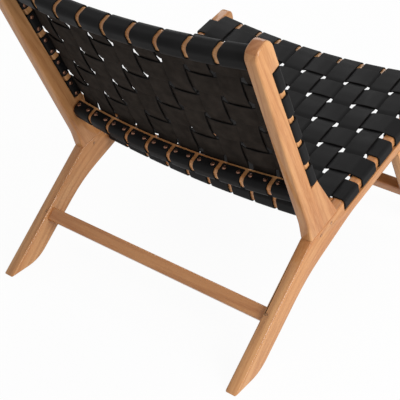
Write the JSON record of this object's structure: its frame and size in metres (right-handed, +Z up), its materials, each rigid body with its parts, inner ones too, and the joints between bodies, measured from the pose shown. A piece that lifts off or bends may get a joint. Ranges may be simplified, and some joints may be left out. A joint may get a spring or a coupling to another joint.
{
  "type": "woven strap lounge chair",
  "caption": "Low armless lounge chair: slotted wooden plank frame with splayed legs, its sloping seat and reclined back woven from wide black leather straps that wrap the frame",
  "frame": {"origin": "on the floor, under the middle of the chair's box", "axes": "+Z is up, the sitter faces -Y and +X is the sitter's left"},
  "size_m": [0.636, 0.8004, 0.6806],
  "materials": {
    "frame_wood": "satin oiled light hardwood",
    "pin_wood": "end grain of hardwood pins",
    "strap_leather": "black saddle leather, smooth grain side out",
    "rivet_metal": "antique copper rivet heads"
  },
  "bodies": {
    "root": {"left_leg_rail": "frame_wood", "right_leg_rail": "frame_wood", "left_back_stile": "frame_wood", "right_back_stile": "frame_wood", "left_front_leg": "frame_wood", "right_front_leg": "frame_wood", "seat_front_rail": "frame_wood", "seat_rear_rail": "frame_wood", "back_lower_rail": "frame_wood", "back_top_rail": "frame_wood", "rear_stretcher": "frame_wood", "front_stretcher": "frame_wood", "left_stile_pin_front": "pin_wood", "right_stile_pin_front": "pin_wood", "left_stile_pin_rear": "pin_wood", "right_stile_pin_rear": "pin_wood", "left_front_leg_pin_front": "pin_wood", "right_front_leg_pin_front": "pin_wood", "left_front_leg_pin_rear": "pin_wood", "right_front_leg_pin_rear": "pin_wood", "left_rear_stretcher_pin": "pin_wood", "right_rear_stretcher_pin": "pin_wood", "left_front_stretcher_pin": "pin_wood", "right_front_stretcher_pin": "pin_wood", "seat_long_strap_1": "strap_leather", "seat_long_strap_2": "strap_leather", "seat_long_strap_3": "strap_leather", "seat_long_strap_4": "strap_leather", "seat_long_strap_5": "strap_leather", "seat_long_strap_6": "strap_leather", "seat_long_strap_7": "strap_leather", "seat_long_strap_8": "strap_leather", "seat_long_strap_9": "strap_leather", "seat_long_strap_10": "strap_leather", "seat_cross_strap_1": "strap_leather", "seat_cross_strap_2": "strap_leather", "seat_cross_strap_3": "strap_leather", "seat_cross_strap_4": "strap_leather", "seat_cross_strap_5": "strap_leather", "seat_cross_strap_6": "strap_leather", "back_long_strap_1": "strap_leather", "back_long_strap_2": "strap_leather", "back_long_strap_3": "strap_leather", "back_long_strap_4": "strap_leather", "back_long_strap_5": "strap_leather", "back_long_strap_6": "strap_leather", "back_long_strap_7": "strap_leather", "back_long_strap_8": "strap_leather", "back_long_strap_9": "strap_leather", "back_long_strap_10": "strap_leather", "back_cross_strap_1": "strap_leather", "back_cross_strap_2": "strap_leather", "back_cross_strap_3": "strap_leather", "back_cross_strap_4": "strap_leather", "back_cross_strap_5": "strap_leather"}
  },
  "joints": []
}
